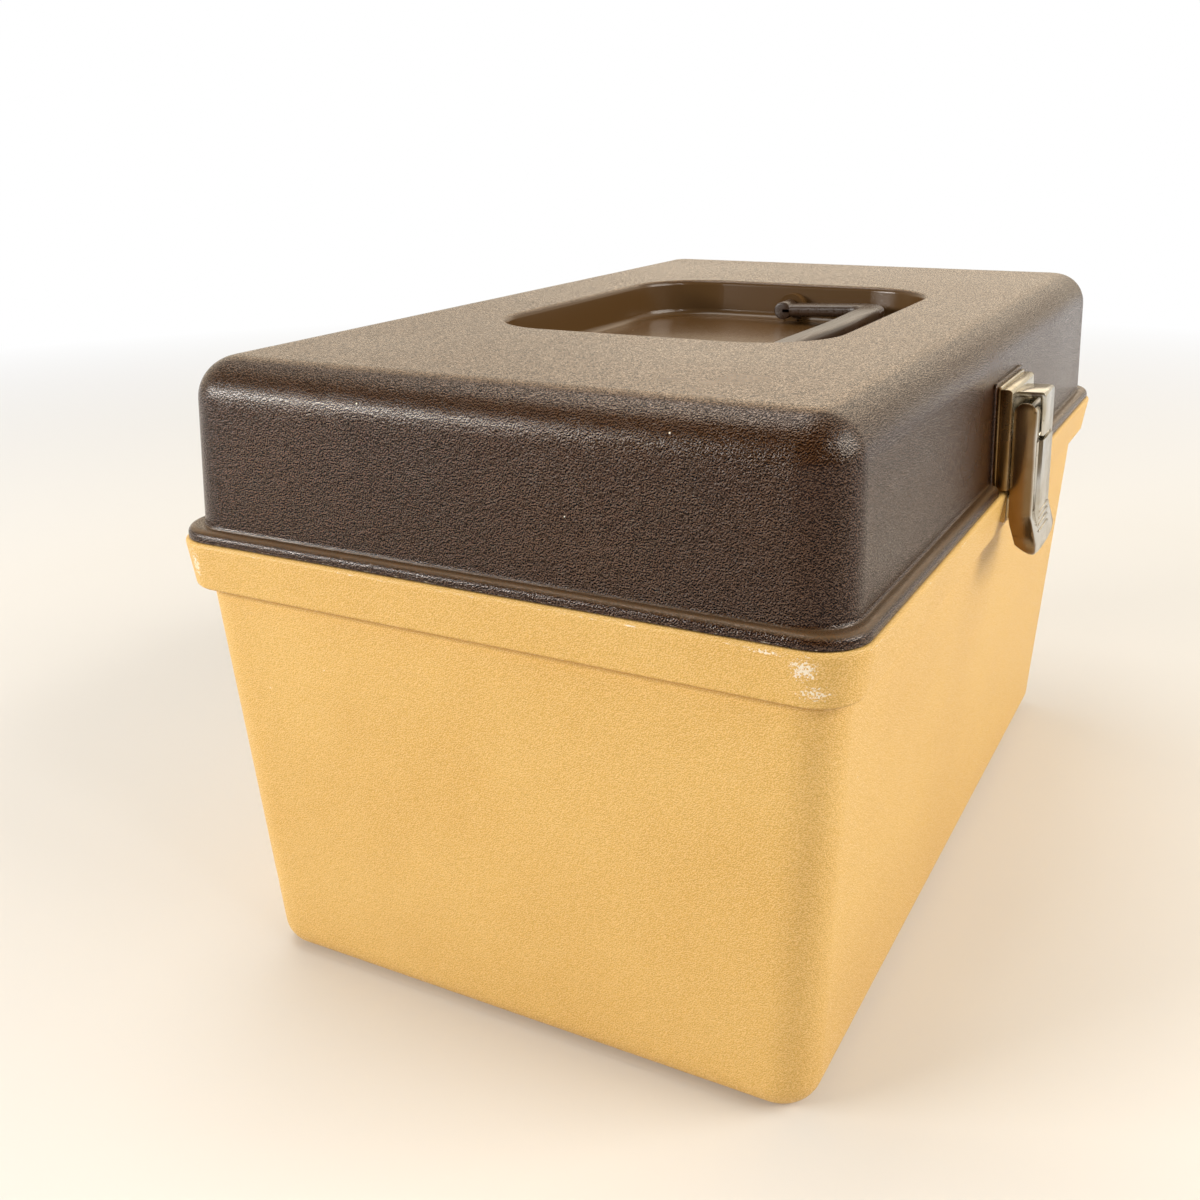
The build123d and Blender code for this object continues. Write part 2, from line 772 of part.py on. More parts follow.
def make_leaf(owner):
    sign = 1 if owner == "lid" else -1
    length = hinge_lid_leaf if owner == "lid" else hinge_base_leaf
    other = "base" if owner == "lid" else "lid"
    half = hinge_width / 2
    low, high = sorted((sign * running_gap, sign * length))
    leaf = block((-half, half), (low, high), (0, hinge_leaf_thickness))
    far = leaf.edges().filter_by(Axis.Z).sort_by(Axis.Y)
    far = far[-2:] if owner == "lid" else far[:2]
    leaf = fillet(far, hinge_leaf_r)
    clear = hinge_knuckle_r + running_gap
    for span in knuckle_ranges(other):
        x = (span[0] - running_gap, span[1] + running_gap)
        near, out = sorted((-sign * clear, sign * clear))
        leaf -= block(x, (near, out), (-1, 3 * clear))
    for span in knuckle_ranges(owner):
        leaf += hinge_rod(hinge_knuckle_r, *span)
    bore = hinge_pin_r if owner == "base" else hinge_pin_r + pin_clearance
    leaf -= hinge_rod(bore, -half - 1, half + 1)
    for x, y in leaf_rivet_places(owner):
        leaf -= stud(rivet_r, -1, 3, x, y)
    return leaf


def leaf_rivet_places(owner):
    y = hinge_rivet_height if owner == "lid" else -hinge_rivet_drop
    return [(side * hinge_rivet_spacing / 2, y) for side in (-1, 1)]


def make_hinge_pin():
    half = hinge_width / 2
    pin = hinge_rod(hinge_pin_r, -half - hinge_pin_proud, half + hinge_pin_proud)
    ends = pin.edges().filter_by(GeomType.CIRCLE)
    return fillet(ends, hinge_pin_end_r)


# Rivets and washers, each kind one group
def hinge_fasteners(owner):
    rivets = []
    washers = []
    seat = hinge_pad_y - lid_seat_y() if owner == "lid" else hinge_pad_y - base_seat_y()
    for x in hinge_places.values():
        plane = hinge_plane(x)
        for px, py in leaf_rivet_places(owner):
            rivets.append(stand(plane, rivet(px, py, seat + hinge_leaf_thickness, hinge_leaf_thickness)))
            washers.append(stand(plane, washer(px, py, -seat)))
    return Compound(children=rivets), Compound(children=washers)


def base_seat_y():
    """Inner face of the base's rim at the front and back."""
    return half_depth - rim_lean - rim_wall


def catch_fasteners():
    rivets = []
    washers = []
    seat = half_depth - base_seat_y()
    y = -catch_drop - catch_height / 2
    for side in (-1, 1):
        x = side * catch_rivet_spacing / 2
        rivets.append(stand(catch_plane, rivet(x, y, seat + catch_thickness, catch_thickness)))
        washers.append(stand(catch_plane, washer(x, y, -seat)))
    return Compound(children=rivets), Compound(children=washers)


def keeper_rivets():
    rivets = []
    grip = keeper_front + lid_wall * math.cos(lean)
    for x, y in keeper_rivet_places():
        rivets.append(stand(latch_plane, rivet(x, y, grip, keeper_front)))
    return Compound(children=rivets)


def make_backing_plate():
    top = -lid_wall * math.cos(lean)
    half = keeper_rivet_spacing / 2 + washer_r
    low = keeper_rivet_height - washer_r
    plate = block((-half, half), (low, low + 2 * washer_r), (top - washer_thickness, top))
    plate = fillet(plate.edges().filter_by(Axis.Z), 2.0)
    for x, y in keeper_rivet_places():
        plate -= stud(rivet_r, top - 3, top + 1, x, y)
    return plate


# Tray
def tray_seat():
    return rib_top + running_gap


def tray_half(z, inset):
    """Half sizes of the tray's tub, which hangs between the ribs."""
    down = (tray_seat() - z) / tray_deep * tray_taper
    shrink = tray_rib_gap + inset + down
    inset_x, inset_y = rib_inset()
    return (inset_x - shrink, inset_y - shrink)


def tray_section(z, inset):
    along, across = tray_half(z, inset)
    return (2 * along, 2 * across, tray_corner_r - inset, z)


def tray_bottom():
    return tray_seat() - tray_deep


def peg_places():
    end = tray_end_divider_x
    start = -tray_half(tray_seat(), tray_wall)[0]
    middle_x = (start + end) / 2
    front = -tray_half(tray_seat(), tray_wall)[1]
    middle_y = (front + tray_divider_y) / 2
    places = []
    for row in range(peg_rows):
        for column in range(peg_columns):
            x = middle_x + (column - (peg_columns - 1) / 2) * peg_pitch_x
            y = middle_y + (row - (peg_rows - 1) / 2) * peg_pitch_y
            places.append((x, y))
    return places


def make_tray():
    seat = tray_seat()
    top = seat + tray_flange_thickness
    wall = base_outline(rib_top, base_wall)
    flange = between(
        (wall[0] - 2 * tray_gap, wall[1] - 2 * tray_gap, tray_corner_r, seat),
        (wall[0] - 2 * tray_gap, wall[1] - 2 * tray_gap, tray_corner_r, top),
    )
    flange = fillet(flange.faces().sort_by(Axis.Z)[-1].edges(), tray_flange_thickness * 0.4)
    tub = between(tray_section(tray_bottom(), 0), tray_section(seat + 0.5, 0))
    tub = fillet(tub.faces().sort_by(Axis.Z)[0].edges(), tray_foot_r)
    hollow = between(
        tray_section(tray_bottom() + tray_floor, tray_wall), tray_section(top + 1, tray_wall)
    )
    hollow = fillet(hollow.faces().sort_by(Axis.Z)[0].edges(), tray_foot_r - tray_wall / 2)
    half = tray_wall / 2
    long_wall = block((-half_length, half_length), (tray_divider_y - half, tray_divider_y + half), (tray_bottom(), top))
    dividers = long_wall
    for x in (-tray_divider_x, tray_divider_x):
        dividers += block((x - half, x + half), (tray_divider_y, half_depth), (tray_bottom(), top))
    x = tray_end_divider_x
    dividers += block((x - half, x + half), (-half_depth, tray_divider_y), (tray_bottom(), top))
    dividers &= between(tray_section(tray_bottom() + tray_floor / 2, tray_wall / 2), tray_section(top, tray_wall / 2))
    tray = flange + tub - hollow + dividers
    for side in (-1, 1):
        near = tray_half(top, 0)[0]
        x = sorted((side * (near - tray_tab_thickness + 1), side * (near + 1)))
        tab = block(x, (-tray_tab_width / 2, tray_tab_width / 2), (top - 1, top + tray_tab_height))
        upper = tab.edges().filter_by(Axis.X).group_by(Axis.Z)[-1]
        tray += fillet(upper, tray_tab_height * 0.5)
    for x, y in peg_places():
        tray -= Pos(x, y, tray_bottom() + tray_floor / 2) * Cylinder(peg_spigot_r, tray_floor * 2)
    return tray


def make_peg(x, y):
    foot = tray_bottom()
    floor = foot + tray_floor
    peg = Pos(0, 0, floor / 2 + foot / 2) * Cylinder(peg_spigot_r, tray_floor)
    peg += Pos(0, 0, floor + peg_collar_height / 2) * Cylinder(peg_collar_r, peg_collar_height)
    shank_height = peg_height - peg_collar_height
    shank = Cone(peg_r, peg_top_r, shank_height)
    shank = Pos(0, 0, floor + peg_collar_height + shank_height / 2) * shank
    peg += fillet(shank.edges().filter_by(GeomType.CIRCLE).sort_by(Axis.Z)[-1:], peg_top_r * 0.8)
    return Pos(x, y, 0) * peg


# Every node of the model
nodes = {
    "base_shell": make_base(),
    "lid_shell": make_lid(),
    "carry_handle": make_handle(),
    "handle_pin_left": make_handle_pin(-1),
    "handle_pin_right": make_handle_pin(1),
    "latch_back_plate": stand(latch_plane, make_back_plate()),
    "latch_keeper": stand(latch_plane, make_keeper()),
    "latch_strap": stand(latch_plane, make_strap()),
    "latch_pin": stand(latch_plane, make_latch_pin()),
    "latch_rivets": keeper_rivets(),
    "latch_backing_plate": stand(latch_plane, make_backing_plate()),
    "latch_lever": stand(latch_plane, make_lever()),
    "latch_spring_tongue": stand(latch_plane, make_tongue()),
    "latch_catch": stand(catch_plane, make_catch()),
    "tray_shell": make_tray(),
}
nodes["catch_rivets"], nodes["catch_washers"] = catch_fasteners()
nodes["hinge_rivets_base"], nodes["hinge_washers_base"] = hinge_fasteners("base")
nodes["hinge_rivets_lid"], nodes["hinge_washers_lid"] = hinge_fasteners("lid")
for side_name, hinge_x in hinge_places.items():
    plane = hinge_plane(hinge_x)
    nodes["hinge_base_leaf_" + side_name] = stand(plane, make_leaf("base"))
    nodes["hinge_lid_leaf_" + side_name] = stand(plane, make_leaf("lid"))
    nodes["hinge_pin_" + side_name] = stand(plane, make_hinge_pin())
for number, (peg_x, peg_y) in enumerate(peg_places(), start=1):
    nodes["spool_peg_%d" % number] = make_peg(peg_x, peg_y)

for name, shape in nodes.items():
    export_step(shape, "parts/" + name + ".step")
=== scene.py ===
# %% [markdown]
# # A plastic sewing box in Blender
#
# The box is already measured and built as solid parts, each a node with its own name. This lesson dresses
# that model: it gives every part a finish worked out from nodes, and models again, by hand, the parts whose
# soft edges catch the light: the latch and the carry handle. Sizes are in millimetres and are turned into
# metres where Blender needs them.

# %% Load the measured box
import bmesh
import bpy
import json
import math
from mathutils import Matrix, Vector


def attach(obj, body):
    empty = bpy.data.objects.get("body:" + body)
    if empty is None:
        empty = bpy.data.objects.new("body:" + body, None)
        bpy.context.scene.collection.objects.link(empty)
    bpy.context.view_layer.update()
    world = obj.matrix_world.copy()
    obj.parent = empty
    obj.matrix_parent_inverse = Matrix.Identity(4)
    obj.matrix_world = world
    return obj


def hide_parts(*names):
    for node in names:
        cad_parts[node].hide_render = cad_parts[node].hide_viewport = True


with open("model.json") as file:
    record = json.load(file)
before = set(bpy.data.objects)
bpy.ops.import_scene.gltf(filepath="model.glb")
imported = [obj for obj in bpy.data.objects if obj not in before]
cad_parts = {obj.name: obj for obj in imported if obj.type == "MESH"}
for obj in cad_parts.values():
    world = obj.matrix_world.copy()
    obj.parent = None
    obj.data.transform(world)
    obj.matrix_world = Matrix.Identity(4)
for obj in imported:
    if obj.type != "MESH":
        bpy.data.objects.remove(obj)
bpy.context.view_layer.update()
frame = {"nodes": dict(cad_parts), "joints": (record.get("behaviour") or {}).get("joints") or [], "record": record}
mm = 0.001
pivots = {joint["name"]: Vector(joint["pos_m"]) for joint in frame["joints"]}

# %% [markdown]
# ## The camera
#
# The photograph was taken from the left of the latch and a little above, close enough for the far end to look
# clearly smaller. The camera's place and turn were worked out from the box's straight edges. A camera could
# be aimed with a Track To constraint, but it was held very slightly rolled, so its three directions are set
# here.

# %% Place the camera
camera_place = Vector((-446.3, -185.5, 266.3)) * mm
camera_azimuth = math.radians(-61.60)
camera_elevation = math.radians(18.95)
camera_roll = math.radians(-0.71)

back = Vector((
    math.sin(camera_azimuth) * math.cos(camera_elevation),
    -math.cos(camera_azimuth) * math.cos(camera_elevation),
    math.sin(camera_elevation),
))
level_right = Vector((math.cos(camera_azimuth), math.sin(camera_azimuth), 0))
level_up = back.cross(level_right)
right = math.cos(camera_roll) * level_right + math.sin(camera_roll) * level_up
up = math.cos(camera_roll) * level_up - math.sin(camera_roll) * level_right

bpy.ops.object.select_all(action="DESELECT")
bpy.ops.object.camera_add()
camera = bpy.context.object
camera.name = "photo_camera"
camera.matrix_world = Matrix.Translation(camera_place) @ Matrix((right, up, back)).transposed().to_4x4()
camera.data.sensor_width = 36
camera.data.lens = 38.81
camera.data.shift_x = 0.0043
camera.data.shift_y = -0.0223
camera.data.clip_start = 0.01
bpy.context.scene.camera = camera
print("camera at", [round(v, 3) for v in camera.location], "lens", camera.data.lens)


# %% A helper that adds a shader node and sets its sockets
def put(tree, kind, **sockets):
    """Adds a node; a socket value that is another node's output is linked, any other is set."""
    node = tree.nodes.new("ShaderNode" + kind)
    for name, value in sockets.items():
        if hasattr(node, name):
            setattr(node, name, value)
            continue
        key = int(name[1:]) if name[0] == "i" and name[1:].isdigit() else name.replace("_", " ")
        if isinstance(value, bpy.types.NodeSocket):
            tree.links.new(value, node.inputs[key])
        else:
            node.inputs[key].default_value = value
    return node


def sums(tree, operation, first, second=0.0):
    """One Math node on two numbers or sockets."""
    return put(tree, "Math", operation=operation, i0=first, i1=second).outputs["Value"]


def fade(tree, value, start, end, low=0.0, high=1.0):
    """Turns a value that runs from start to end into one that runs from low to high."""
    node = put(tree, "MapRange", Value=value, From_Min=start, From_Max=end, To_Min=low, To_Max=high)
    return node.outputs["Result"]


def blend_value(tree, amount, first, second):
    """Mixes two numbers or sockets."""
    return put(tree, "Mix", data_type="FLOAT", i0=amount, i2=first, i3=second).outputs[0]


def blend(tree, amount, first, second):
    """Mixes two colours; each is a socket or three numbers."""
    first = first if isinstance(first, bpy.types.NodeSocket) else (*first, 1)
    second = second if isinstance(second, bpy.types.NodeSocket) else (*second, 1)
    return put(tree, "Mix", data_type="RGBA", i0=amount, i6=first, i7=second).outputs[2]


print("shader helpers ready")

# %% [markdown]
# ## Floor and light
#
# The box stands on a plain pale floor in soft studio light. A broad lamp over the latch side makes the long
# side the brighter one. A long low lamp behind the near end is mirrored as the bright line along the rounded
# top edge, and a small lamp adds a glint at the corner. Two weaker, warmer lamps reach the far side and the
# top, and a pale world fills the shade. Towards the distance the floor turns into plain white for the camera
# and in reflections, so that no horizon shows. What is mirrored from the rest of the room is bright on one
# side and darker and warmer on the other, as rooms are, which keeps the brown plastic and the metal from
# turning grey.

# %% Floor
floor_colour = (0.75, 0.72, 0.67, 1)
floor_size = 40
white_from = 0.5
white_beyond = 1.5

bpy.ops.object.select_all(action="DESELECT")
bpy.ops.mesh.primitive_plane_add(size=floor_size, location=(0, 0, 0))
floor = bpy.context.object
floor.name = "pale_floor"
floor_finish = bpy.data.materials.new("pale_floor")
floor_finish.use_nodes = True
floor_tree = floor_finish.node_tree
floor_shader = floor_tree.nodes["Principled BSDF"]
floor_shader.inputs["Base Color"].default_value = floor_colour
floor_shader.inputs["Roughness"].default_value = 0.9
floor_shader.inputs["Specular IOR Level"].default_value = 0.1
floor_place = put(floor_tree, "TexCoord").outputs["Object"]
floor_distance = put(floor_tree, "VectorMath", operation="LENGTH", i0=floor_place).outputs["Value"]
ray = put(floor_tree, "LightPath")
seen_ray = sums(floor_tree, "MAXIMUM", ray.outputs["Is Camera Ray"], ray.outputs["Is Glossy Ray"])
seen_ray = sums(floor_tree, "MAXIMUM", seen_ray, ray.outputs["Is Transmission Ray"])
far_off = fade(floor_tree, floor_distance, white_from, white_beyond)
whiteness = sums(floor_tree, "MULTIPLY", seen_ray, far_off)
white = put(floor_tree, "Emission", Color=(1, 1, 1, 1), Strength=1.0)
floor_mix = put(floor_tree, "MixShader", i0=whiteness, i1=floor_shader.outputs["BSDF"],
                i2=white.outputs["Emission"])
floor_tree.links.new(floor_mix.outputs["Shader"], floor_tree.nodes["Material Output"].inputs["Surface"])
floor.data.materials.append(floor_finish)
print("floor", floor.dimensions[:])

# %% Lamps
lamp_aim = Vector((0, 0, 0.1))
lamps = {
    # name: place and size in metres, power in watts, tint
    "latch_side_lamp": ((0.35, -1.7, 1.15), (1.5, 1.1), 34, (1, 0.97, 0.91)),
    "edge_lamp": ((-1.2, 1.15, 0.62), (0.9, 0.3), 22.5, (1, 0.98, 0.95)),
    "glint_lamp": ((-0.7, -1.25, 1.25), (0.16, 0.16), 2.5, (1, 0.98, 0.95)),
    "far_lamp": ((1.6, 0.2, 1.0), (1.4, 0.9), 3.0, (1, 0.84, 0.64)),
    "top_lamp": ((0.1, 0.5, 1.8), (1.2, 1.0), 15, (1, 0.96, 0.90)),
}
for name, (lamp_place, lamp_size, watts, tint) in lamps.items():
    bpy.ops.object.select_all(action="DESELECT")
    bpy.ops.object.light_add(type="AREA", location=lamp_place)
    light = bpy.context.object
    light.name = name
    light.data.shape = "RECTANGLE"
    light.data.size, light.data.size_y = lamp_size
    light.data.energy = watts
    light.data.color = tint
    light.visible_camera = False
    towards = lamp_aim - light.location
    light.rotation_euler = towards.to_track_quat("-Z", "Y").to_euler()
    print(name, watts, "W")

# %% World
world_fill = 0.32
room_glow = 0.22
room_warmth = (1.0, 0.76, 0.48)
window_warmth = (1.0, 0.91, 0.76)
window_way = (0.93, 0.37, 0.0)

bpy.context.scene.world = bpy.data.worlds.new("pale_studio")
world = bpy.context.scene.world
world.use_nodes = True
sky = world.node_tree
fill = sky.nodes["Background"]
fill.inputs["Color"].default_value = (1.0, 0.985, 0.96, 1)
fill.inputs["Strength"].default_value = world_fill
direction = put(sky, "TexCoord").outputs["Generated"]
ahead = put(sky, "VectorMath", operation="DOT_PRODUCT", i0=direction, i1=window_way).outputs["Value"]
bright_side = fade(sky, ahead, -0.25, 0.45)
mirrored = put(sky, "Background", Color=blend(sky, bright_side, room_warmth, window_warmth),
               Strength=fade(sky, bright_side, 0.0, 1.0, room_glow, 1.0))
seen = put(sky, "Background", Color=(1, 1, 1, 1), Strength=1.0)
path = put(sky, "LightPath")
in_gloss = sums(sky, "MAXIMUM", path.outputs["Is Glossy Ray"], path.outputs["Is Transmission Ray"])
lit = put(sky, "MixShader", i0=in_gloss, i1=fill.outputs["Background"], i2=mirrored.outputs["Background"])
choose = put(sky, "MixShader", i0=path.outputs["Is Camera Ray"], i1=lit.outputs["Shader"],
             i2=seen.outputs["Background"])
sky.links.new(choose.outputs["Shader"], sky.nodes["World Output"].inputs["Surface"])
bpy.context.scene.view_settings.view_transform = "Standard"
print("world fill", world_fill)

# %% [markdown]
# ## Moulded plastic with a leather grain
#
# Both shells are moulded against a tool that was etched to look like leather, so the whole outside has small
# rounded wrinkles under a millimetre across. A picture of leather could be wrapped round it, but a pattern
# made from noise has no seams, follows every corner and costs nothing. The noise is distorted a little, so
# that it runs into short ridges, and it is read twice, a short step apart: the difference tells which side of
# a ridge a place is on. One side gets painted shade and the other a painted highlight, as if lit from above,
# and more clear coat, which shows the ridges where the bump alone would be too faint. Bigger, softer noise
# makes the tone uneven, as on old plastic.


# %% Colours, as they would be mixed
def paint(red, green, blue):
    """Turns a colour picked on the screen, 0 to 255, into the linear one that a shader needs."""
    def linear(v):
        v /= 255
        return v / 12.92 if v <= 0.04045 else ((v + 0.055) / 1.055) ** 2.4
    return (linear(red), linear(green), linear(blue))


# The third colour of each shell is a painted highlight for the lit side of each grain ridge.
lid_brown = paint(52, 28, 9)
lid_brown_deep = paint(43, 22, 7)
lid_brown_painted_highlight = paint(150, 114, 80)
well_brown = paint(92, 70, 42)
# Dust and painted sheen for the lid's flat top, also used as painted light along the lid's ledge.
dust_and_painted_light = paint(128, 105, 78)
# Painted shadow just under the rim of the base.
under_rim_painted_shadow = paint(150, 106, 48)
base_tan = paint(226, 182, 103)
base_tan_deep = paint(220, 174, 94)
base_tan_painted_highlight = paint(240, 208, 150)
chalk = paint(240, 230, 212)
print("lid", [round(c, 3) for c in lid_brown], "base", [round(c, 3) for c in base_tan])


# %% Marks of use, and bands of painted shade and light
def rubbed_patch(tree, place, middle, reach, sparse):
    """A chalky patch round one point, broken up by fine noise. Reach is its half size along each axis in mm,
    and the higher sparse is, the fewer flecks it has."""
    offset = put(tree, "VectorMath", operation="SUBTRACT", i0=place, i1=tuple(v * mm for v in middle))
    scaled = put(tree, "VectorMath", operation="DIVIDE", i0=offset.outputs["Vector"],
                 i1=tuple(v * mm for v in reach))
    distance = put(tree, "VectorMath", operation="LENGTH", i0=scaled.outputs["Vector"]).outputs["Value"]
    rub = put(tree, "TexNoise", Vector=place, Scale=1300.0, Detail=4.0, Roughness=0.7).outputs["Fac"]
    both = sums(tree, "MULTIPLY", fade(tree, distance, 0.0, 1.6, 1.0, 0.0), rub)
    return fade(tree, both, sparse, sparse + 0.04, 0.0, 0.9)


def soft_line(tree, height, middle, reach, strength):
    """A soft band of colour along one height, used for painted shadow and painted light, and under the rubbed
    edges.
    """
    away = sums(tree, "ABSOLUTE", sums(tree, "SUBTRACT", height, middle * mm))
    return fade(tree, away, 0.0, reach * mm, strength, 0.0)


def rubbed_edge(tree, place, height, middle, reach):
    """A thin broken chalky line at one height, where two hard edges have knocked together."""
    rub = put(tree, "TexNoise", Vector=place, Scale=300.0, Detail=6.0, Roughness=0.75).outputs["Fac"]
    both = sums(tree, "MULTIPLY", soft_line(tree, height, middle, reach, 1.0), rub)
    return fade(tree, both, 0.52, 0.62, 0.0, 0.8)


def pale_specks(tree, place):
    """Rare pinpoints of lint and paint."""
    grid = put(tree, "TexVoronoi", Vector=place, Scale=95.0)
    point = fade(tree, grid.outputs["Distance"], 0.016, 0.028, 1.0, 0.0)
    lottery = put(tree, "SeparateColor", i0=grid.outputs["Color"]).outputs[0]
    return sums(tree, "MULTIPLY", point, sums(tree, "GREATER_THAN", lottery, 0.55))


print("marks ready")


# %% The leather grain
ridge_scale = 1800
shading_step = (0.0001, 0.0001, 0.00026)


def leather_grain(tree, place, pebble):
    """How high the grain stands at a place, from 0 in a valley to 1 on a ridge; pebble is its size in mm."""
    noise = put(tree, "TexNoise", Vector=place, Scale=ridge_scale / pebble, Detail=1.0, Distortion=0.5)
    height = put(tree, "MapRange", interpolation_type="SMOOTHSTEP", Value=noise.outputs["Fac"], From_Min=0.34,
                 From_Max=0.66)
    return height.outputs["Result"]


def ridge_side(tree, place, pebble, grain):
    """Above 0 on one side of a ridge and below 0 on the other."""
    step = tuple(v * pebble for v in shading_step)
    beside = put(tree, "VectorMath", operation="ADD", i0=place, i1=step).outputs["Vector"]
    return sums(tree, "SUBTRACT", grain, leather_grain(tree, beside, pebble))


print("grain ready")

# %% [markdown]
# ## The recess in the lid
#
# The well that the handle lies in was polished in the tool, so it is smooth, and it has kept a warmer brown.
# It could be a second material on picked faces, but its rounded outline is easily measured from the middle of
# the lid, and one material keeps the edge soft.

# %% The recess and the top's dust and painted sheen, by place
well_straight = (0.048, 0.032, 1.0)
well_corner = 0.0282
well_bottom = 0.1885
lid_height = 0.2044


def in_recess(tree, place, height):
    """1 inside the well that the handle lies in, and 0 outside it."""
    aside = put(tree, "VectorMath", operation="ABSOLUTE", i0=place).outputs["Vector"]
    aside = put(tree, "VectorMath", operation="SUBTRACT", i0=aside, i1=well_straight).outputs["Vector"]
    aside = put(tree, "VectorMath", operation="MAXIMUM", i0=aside, i1=(0, 0, 0)).outputs["Vector"]
    from_corner = put(tree, "VectorMath", operation="LENGTH", i0=aside).outputs["Value"]
    inside = fade(tree, from_corner, well_corner, well_corner + 0.002, 1.0, 0.0)
    below_top = fade(tree, height, lid_height - 0.0014, lid_height, 1.0, 0.0)
    above_bottom = sums(tree, "GREATER_THAN", height, well_bottom)
    return sums(tree, "MULTIPLY", sums(tree, "MULTIPLY", inside, below_top), above_bottom)


def top_dust_and_painted_sheen(tree, place, height, recess, slope):
    """Dust, fine rubbing and a painted sheen on the flat top, thinner on the shaded side of each ridge."""
    dust_and_sheen_speckle = put(tree, "TexNoise", Vector=place, Scale=1500.0, Detail=2.0, Roughness=0.6).outputs["Fac"]
    flat_top = fade(tree, height, lid_height - 0.001, lid_height - 0.0001)
    on_top = sums(tree, "MULTIPLY", flat_top, sums(tree, "SUBTRACT", 1.0, recess))
    return sums(tree, "MULTIPLY", on_top, fade(tree, sums(tree, "ADD", slope, dust_and_sheen_speckle), 0.05, 0.95, 0.1, 0.9))


print("recess ready")


# %% The two outer shells
under_coat = 0.08
coat_index = 1.6


def shell_plastic(name, colours, pebble, relief, contrast, glint, roughness, polish, depth_tint=(1, 1, 1),
                  patches=(), edges=(), lines=(), well=False):
    """Grained plastic under clear coat. Pebble and relief are the grain's size and height in mm, contrast and
    glint the strengths of the painted shade and painted highlight on the two sides of each ridge, and well
    smooths and warms the recess that the handle lies in."""
    colour, deep, painted_highlight_colour = colours
    finish = bpy.data.materials.new(name)
    finish.use_nodes = True
    tree = finish.node_tree
    shader = tree.nodes["Principled BSDF"]
    shader.inputs["Specular IOR Level"].default_value = under_coat
    shader.inputs["Coat Roughness"].default_value = roughness
    shader.inputs["Coat IOR"].default_value = coat_index
    shader.inputs["Coat Tint"].default_value = (*depth_tint, 1)
    place = put(tree, "TexCoord").outputs["Object"]
    height = put(tree, "SeparateXYZ", Vector=place).outputs["Z"]
    grain = leather_grain(tree, place, pebble)
    slope = ridge_side(tree, place, pebble, grain)
    tone = put(tree, "TexNoise", Vector=place, Scale=11.0, Detail=4.0, Roughness=0.6).outputs["Fac"]
    surface = blend(tree, fade(tree, tone, 0.38, 0.62), deep, colour)
    amount = 1.0
    # Painted shade on one side of each grain ridge and a painted highlight on the other, as if lit from above.
    shade = fade(tree, slope, -0.5, 0.1, 1.0 - contrast, 1.0)
    painted_highlight = fade(tree, slope, 0.1, 0.55, 0.0, glint)
    if well:
        recess = in_recess(tree, place, height)
        surface = blend(tree, sums(tree, "MULTIPLY", recess, 0.8), surface, well_brown)
        amount = fade(tree, recess, 0.0, 1.0, 1.0, 0.12)
        shade = blend_value(tree, recess, shade, 1.0)
        painted_highlight = blend_value(tree, recess, painted_highlight, 0.0)
    surface = put(tree, "VectorMath", operation="SCALE", i0=surface, Scale=shade).outputs["Vector"]
    surface = blend(tree, painted_highlight, surface, painted_highlight_colour)
    if well:
        # Dust and painted sheen on the flat top of the lid.
        surface = blend(tree, top_dust_and_painted_sheen(tree, place, height, recess, slope), surface, dust_and_painted_light)
    # Bands of painted shadow and painted light along given heights.
    for middle, reach, strength, tint in lines:
        surface = blend(tree, soft_line(tree, height, middle, reach, strength), surface, tint)
    surface = blend(tree, pale_specks(tree, place), surface, chalk)
    for middle, reach, sparse in patches:
        surface = blend(tree, rubbed_patch(tree, place, middle, reach, sparse), surface, chalk)
    for middle, reach in edges:
        surface = blend(tree, rubbed_edge(tree, place, height, middle, reach), surface, chalk)
    tree.links.new(surface, shader.inputs["Base Color"])
    tree.links.new(fade(tree, tone, 0.3, 0.7, roughness, roughness + 0.1), shader.inputs["Roughness"])
    lit_side = blend_value(tree, amount, 0.5, fade(tree, slope, -0.35, 0.5))
    tree.links.new(fade(tree, lit_side, 0.2, 0.85, 0.05, polish), shader.inputs["Coat Weight"])
    bump = put(tree, "Bump", Height=grain, Strength=amount, Distance=relief * mm)
    tree.links.new(bump.outputs["Normal"], shader.inputs["Normal"])
    tree.links.new(bump.outputs["Normal"], shader.inputs["Coat Normal"])
    return finish


print("shell plastic ready")

# %% Tan base and brown lid
# each patch: middle and reach in mm, then how sparse it is
tan_patches = [
    ((-176.5, -95, 145.5), (7, 7.5, 7), 0.40),
    ((-176, -98, 139), (9, 12, 6), 0.45),
    ((-177, -86, 148.5), (8, 12, 1.5), 0.43),
    ((-177, 98, 143), (6, 5, 10), 0.41),
    ((-165, -95, 6), (9, 9, 8), 0.44),
]
brown_patches = [((-169, -97, 199), (5, 4, 2.5), 0.46), ((-178, -92, 153), (6, 14, 3), 0.50)]
# each edge: height and reach in mm; each line: height, reach, strength and tint
# The line just under the rim is a painted shadow.
tan_plastic = shell_plastic(
    "tan_grained_plastic", (base_tan, base_tan_deep, base_tan_painted_highlight), pebble=0.7, relief=0.04,
    contrast=0.22, glint=0.5, roughness=0.42, polish=0.8, patches=tan_patches,
    edges=[(149.0, 1.2), (134.8, 0.8)], lines=[(133.7, 1.8, 0.75, under_rim_painted_shadow)])
# The pale line along the ledge is painted light from above.
brown_plastic = shell_plastic(
    "brown_grained_plastic", (lid_brown, lid_brown_deep, lid_brown_painted_highlight), pebble=0.8, relief=0.045,
    contrast=0.85, glint=0.20, roughness=0.19, polish=0.95, depth_tint=(1.0, 0.82, 0.62),
    patches=brown_patches, edges=[(150.6, 0.7)], lines=[(153.5, 0.9, 0.5, dust_and_painted_light)], well=True)
print("shells:", tan_plastic.name, brown_plastic.name)


